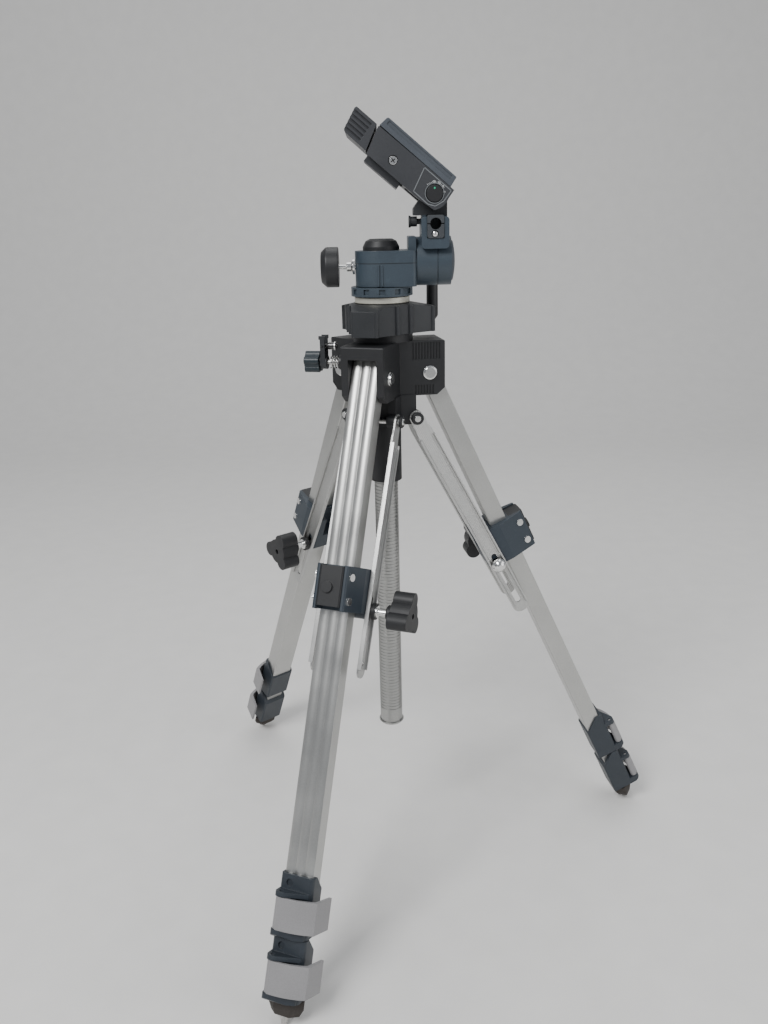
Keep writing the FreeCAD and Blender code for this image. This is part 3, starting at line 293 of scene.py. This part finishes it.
def island_sizes(mesh, numbers):
    """The lowest and the highest corner of each solid, in millimetres."""
    boxes = {}
    for polygon, number in zip(mesh.polygons, numbers):
        low, high = boxes.setdefault(number, ([1e9] * 3, [-1e9] * 3))
        for index in polygon.vertices:
            for axis, value in enumerate(mesh.vertices[index].co):
                low[axis] = min(low[axis], value / MM)
                high[axis] = max(high[axis], value / MM)
    return boxes


def paint(name, *materials, choose=None, by_size=False):
    """Gives a CAD node its materials.

    by_size hands them to its solids, the biggest solid first;
    choose(point) picks one by the polygon's centre, in millimetres.
    """
    mesh = nodes[name].data
    mesh.materials.clear()
    for material in materials:
        mesh.materials.append(material)
    if by_size:
        numbers = islands(mesh)
        boxes = island_sizes(mesh, numbers)
        order = sorted(boxes, key=lambda n: -math.dist(*boxes[n]))
        rank = {number: min(index, len(materials) - 1) for index, number in enumerate(order)}
        for polygon, number in zip(mesh.polygons, numbers):
            polygon.material_index = rank[number]
    elif choose:
        for polygon in mesh.polygons:
            polygon.material_index = choose(polygon.center / MM)


def local(frame_matrix):
    """A function that takes a point in the row frame to a sub-part's own frame."""
    inverse = frame_matrix.inverted()
    return lambda point: inverse @ point


def paint_leg(leg):
    to_leg = local(leg_frame(leg))
    across = brace_frame(leg).to_3x3() @ Vector((1, 0, 0))
    bar_metal = shade(f"{leg}_bar_metal", (0.50, 0.50, 0.49), 0.33, 0.9, grain=0.05, bump=0.05,
                      edge=0.4, ribs=(across, 1.5, 0.5))
    paint(f"{leg}_upper_tube", LEG_METAL)
    paint(f"{leg}_middle_tube", TUBE_METAL)
    paint(f"{leg}_lower_tube", TUBE_METAL, SPIKE, choose=lambda p: int(to_leg(p).z < SPIKE_TOP))
    paint(f"{leg}_upper_lock", LOCK)
    paint(f"{leg}_lower_lock", LOCK)
    paint(f"{leg}_upper_lever", LEVER)
    paint(f"{leg}_lower_lever", LEVER)
    paint(f"{leg}_foot", RUBBER)
    paint(f"{leg}_brace_collar", COLLAR, BLACK, CHROME, by_size=True)
    paint(f"{leg}_brace_bars", bar_metal)
    to_brace = local(brace_frame(leg))

    def bolt_part(point):
        return int(CLAMP_WASHER[0] < to_brace(point).y < CLAMP_WASHER[1])

    paint(f"{leg}_clamp_bolt", CHROME, BLACK, choose=bolt_part)
    paint(f"{leg}_clamp_knob", BLACK)


def paint_pivots():
    """Leg bolts are bright; brace screws are bright only at their middles."""
    frames = [local(swing_frame(a, 0, (0, 0))) for a in LEG_AZIMUTHS.values()]

    def choose(point):
        if point.z > LEG_BOLTS_LOW:
            return 0
        for to_arm in frames:
            spot = to_arm(point)
            outward = spot.x - BRACE_PIVOT[0]
            if spot.x > 0 and abs(spot.y) < BRACE_SCREW_HALF and abs(outward) < BRACE_SCREW_REACH:
                reach = math.hypot(outward, spot.z - BRACE_PIVOT[1])
                return 0 if reach < BRACE_SCREW_CENTRE else 1
        return 1

    paint("pivot_bolts", CHROME, BLACK, choose=choose)


def paint_all():
    for leg in LEG_AZIMUTHS:
        paint_leg(leg)
    paint_pivots()
    azimuth = math.radians(CRANK_AZIMUTH)
    crank_way = Vector((math.cos(azimuth), math.sin(azimuth), 0))
    paint("spider_casting", BLACK)
    paint("column_guide_sleeve", BLACK)
    paint("shoulder", DARK)
    paint("centre_column", TUBE_METAL)
    paint("column_end_cap", TUBE_METAL)
    paint("base_disc", DISC)
    paint("crank_shaft", SPIKE)
    paint("crank_arm", DARK)
    paint("crank_handle", GLOSS, CHROME, choose=lambda p: int(p.dot(crank_way) < HANDLE_TIP))
    paint("column_lock_knob", TEAL, CHROME, by_size=True)
    paint("drag_ring", BLUE)
    paint("pan_housing", PAN_BLUE, BLACK,
          choose=lambda p: int(p.z > PAN_CAP_LOW and p.x < PAN_CAP_RIGHT))
    paint("pan_lock_knob", BLACK, CHROME, choose=lambda p: int(p.x > PAN_KNOB_FACE))
    paint("tilt_drum", BLUE, PAD, choose=lambda p: int(p.x > DRUM_CAP_LEFT))
    paint("tilt_arm", BLUE, DARK,
          choose=lambda p: int(p.z > NECK_LOW or (p.x < NECK_STEP[0] and p.z > NECK_STEP[1])))
    paint("handle_clamp", INSERT, CHROME, by_size=True)
    paint("flip_stud", DARK)
    paint("tilt_lock_lever", BLACK, CHROME,
          choose=lambda p: int(p.z > TILT_SCREW_LOW and p.y < TILT_SCREW_BACK))
    paint("platform_body", PLATFORM_GREY, DARK, CHROME, by_size=True)
    paint("dial_knob", BLACK)
    paint("camera_plate", PAD)
    paint("camera_screw", CHROME)
    paint("release_grip", PLATFORM_GREY)


paint_all()


# ---------------------------------------------------------------- small added pieces

def mesh_piece(name, vertices, faces, material, body):
    """A mesh drawn in millimetres in the platform's frame, riding on a body."""
    mesh = bpy.data.meshes.new(name)
    mesh.from_pydata([PLATFORM @ Vector(v) * MM for v in vertices], [], faces)
    mesh.materials.append(material)
    mesh.update()
    piece = bpy.data.objects.new(name, mesh)
    bpy.context.scene.collection.objects.link(piece)
    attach(piece, body)


def prism(outline, low, high):
    """A flat outline of (x, z) pairs given thickness along Y."""
    count = len(outline)
    vertices = [(x, level, z) for level in (low, high) for x, z in outline]
    faces = [tuple(range(count))[::-1], tuple(range(count, 2 * count))]
    for index in range(count):
        after = (index + 1) % count
        faces.append((index, after, after + count, index + count))
    return vertices, faces


def joined(*solids):
    """Several solids' corners and faces as one list of each."""
    vertices = []
    faces = []
    for some_vertices, some_faces in solids:
        start = len(vertices)
        vertices += some_vertices
        faces += [tuple(index + start for index in face) for face in some_faces]
    return vertices, faces


def strip(a, b, width):
    """The four corners of a straight strip from a to b."""
    (ax, ay), (bx, by) = a, b
    length = math.hypot(bx - ax, by - ay)
    nx, ny = -(by - ay) / length * width / 2, (bx - ax) / length * width / 2
    return [(ax + nx, ay + ny), (ax - nx, ay - ny), (bx - nx, by - ny), (bx + nx, by + ny)]


def disc(centre, radius, sides):
    """The corners of a round outline."""
    return [(centre[0] + radius * math.cos(2 * math.pi * i / sides),
             centre[1] + radius * math.sin(2 * math.pi * i / sides)) for i in range(sides)]


# strokes of the scale's figures, each digit in a box one unit wide and two tall
DIGITS = {
    "0": [[(0, 0), (1, 0), (1, 2), (0, 2), (0, 0)]],
    "3": [[(0, 2), (1, 2), (1, 1), (0.3, 1)], [(1, 1), (1, 0), (0, 0)]],
    "6": [[(1, 2), (0, 2), (0, 0), (1, 0), (1, 1), (0, 1)]],
    "9": [[(1, 1), (0, 1), (0, 2), (1, 2), (1, 0), (0, 0)]],
}


def figure(text, centre, size, facing, low, high):
    """A number made of strokes; facing turns it round its centre, in degrees."""
    solids = []
    width = len(text) * 1.5 - 0.5
    turn = math.radians(facing)
    for place_in_word, digit in enumerate(text):
        for stroke in DIGITS[digit]:
            points = []
            for x, y in stroke:
                x = (x + place_in_word * 1.5 - width / 2) * size
                y = (y - 1) * size
                points.append((centre[0] + x * math.cos(turn) - y * math.sin(turn),
                               centre[1] + x * math.sin(turn) + y * math.cos(turn)))
            for a, b in zip(points, points[1:]):
                solids.append(prism(strip(a, b, size * STROKE), low, high))
    return joined(*solids)


def dial_panel(side):
    """The flip scale on one cheek of the platform: a rimmed panel with ticks; the front panel's figures
    come from dial_scale.
    """
    face = CHEEK * side
    which = "front" if side > 0 else "back"

    def layer(depth):
        return sorted((face, face + depth * side))

    sides = zip(PANEL_OUTLINE, PANEL_OUTLINE[1:] + PANEL_OUTLINE[:1])
    walls = joined(*[prism(strip(a, b, PANEL_RIM), *layer(RIM_RISE)) for a, b in sides])
    mesh_piece(f"dial_rim_{which}", *walls, RIM, "platform")
    marks = []
    for step in range(TICKS):
        angle = math.radians(FIRST_TICK - step * TICK_PITCH)
        end = TICK_END if step % 4 else LONG_TICK_END
        ends = [(r * math.cos(angle), r * math.sin(angle)) for r in (TICK_START, end)]
        marks.append(prism(strip(*ends, TICK_WIDE), *layer(TICK_RISE)))
    mesh_piece(f"dial_ticks_{which}", *joined(*marks), PRINT, "platform")


def ring(inner, outer, low, high, sides):
    """A flat ring with thickness, round the flip hinge."""
    loops = [[(x, level, z) for x, z in disc((0, 0), radius, sides)]
             for radius, level in ((inner, low), (outer, low), (outer, high), (inner, high))]
    vertices = [point for loop in loops for point in loop]
    faces = []
    for index in range(sides):
        after = (index + 1) % sides
        for a, b in ((0, 1), (1, 2), (2, 3), (3, 0)):
            faces.append((a * sides + index, a * sides + after, b * sides + after, b * sides + index))
    return vertices, faces


def dial_scale():
    """Figures, the ring round the dial knob and the green index on it."""
    solids = []
    for number, azimuth in (("90", 50), ("60", 80), ("30", 110), ("0", 140)):
        angle = math.radians(azimuth)
        spot = (FIGURE_RADIUS * math.cos(angle) + FIGURE_SHIFT[0],
                FIGURE_RADIUS * math.sin(angle) + FIGURE_SHIFT[1])
        solids.append(figure(number, spot, FIGURE_SIZE, FLIP_ANGLE, CHEEK, CHEEK + FIGURE_RISE))
    mesh_piece("dial_figures", *joined(*solids), PRINT, "platform")
    mesh_piece("dial_ring", *ring(*DIAL_RING, CHEEK, CHEEK + RING_RISE, 40), RIM, "platform")
    mark = prism(disc(INDEX_SPOT, INDEX_RADIUS, 16), DIAL_FACE, DIAL_FACE + INDEX_RISE)
    mesh_piece("dial_index", *mark, GREEN, "tilt")


def cross_slot_shade():
    """Painted shade for the cross recesses in the platform's side screw: a thin near-black cross laid
    flush on the cheek.
    """
    x, z = SIDE_SCREW
    bars = [prism(strip((x - a, z - b), (x + a, z + b), SLOT_WIDE), CHEEK - 0.1, CHEEK + 0.06)
            for a, b in SCREW_SLOTS]
    mesh_piece("side_screw_cross_shade", *joined(*bars), PAINTED_RECESS_SHADE, "platform")


for side in (1, -1):
    dial_panel(side)
dial_scale()
cross_slot_shade()


# ---------------------------------------------------------------- floor, light and camera

def area_light(name, energy, size, position, target):
    """A square soft light that faces a target."""
    light = bpy.data.lights.new(name, "AREA")
    light.energy = energy
    light.size = size
    lamp = bpy.data.objects.new(name, light)
    lamp.location = position
    lamp.rotation_euler = (Vector(target) - Vector(position)).to_track_quat("-Z", "Y").to_euler()
    bpy.context.scene.collection.objects.link(lamp)


def studio():
    """A pale floor that curves up into a wall, and soft lights."""
    floor = bpy.data.meshes.new("floor")
    profile = [(FLOOR_FRONT, 0.0), (FLOOR_BACK, 0.0)]
    for degrees in range(10, 91, 10):
        angle = math.radians(degrees)
        profile.append((FLOOR_BACK + FLOOR_CURVE * math.sin(angle),
                        FLOOR_CURVE - FLOOR_CURVE * math.cos(angle)))
    profile.append((FLOOR_BACK + FLOOR_CURVE, WALL_TOP))
    vertices = [(x, y, z) for x in (-FLOOR_SIDE, FLOOR_SIDE) for y, z in profile]
    count = len(profile)
    faces = [(i, i + 1, i + 1 + count, i + count) for i in range(count - 1)]
    floor.from_pydata(vertices, [], faces)
    for polygon in floor.polygons:
        polygon.use_smooth = True
    floor.materials.append(shade("studio_paper", (0.80, 0.79, 0.77), 0.8, grain=0.02, bump=0.02, edge=0))
    ground = bpy.data.objects.new("floor", floor)
    bpy.context.scene.collection.objects.link(ground)
    world = bpy.data.worlds.new("studio")
    world.use_nodes = True
    background = world.node_tree.nodes["Background"]
    background.inputs["Color"].default_value = WORLD_TINT
    background.inputs["Strength"].default_value = WORLD_STRENGTH
    bpy.context.scene.world = world
    area_light("key", 38, 0.9, (-0.9, -1.3, 1.9), (0, 0, 0.35))
    area_light("fill", 12, 1.6, (1.7, -0.9, 1.0), (0, 0, 0.35))
    area_light("top", 14, 1.4, (0.2, 0.6, 2.2), (0, 0, 0.4))


def camera():
    """The point of view, a little above the head and in front of the front leg."""
    lens = bpy.data.cameras.new("camera")
    lens.lens = FOCAL_LENGTH
    lens.sensor_width = SENSOR_WIDTH
    lens.clip_start = 0.02
    eye = bpy.data.objects.new("camera", lens)
    right = Vector(EYE_RIGHT)
    up = Vector(EYE_UP)
    right = (right - up * right.dot(up) / up.length_squared).normalized()
    up.normalize()
    back = right.cross(up)
    aim = Matrix((right, up, back)).transposed().to_4x4()
    eye.matrix_world = Matrix.Translation(Vector(EYE) * MM) @ aim
    bpy.context.scene.collection.objects.link(eye)
    bpy.context.scene.camera = eye


studio()
camera()
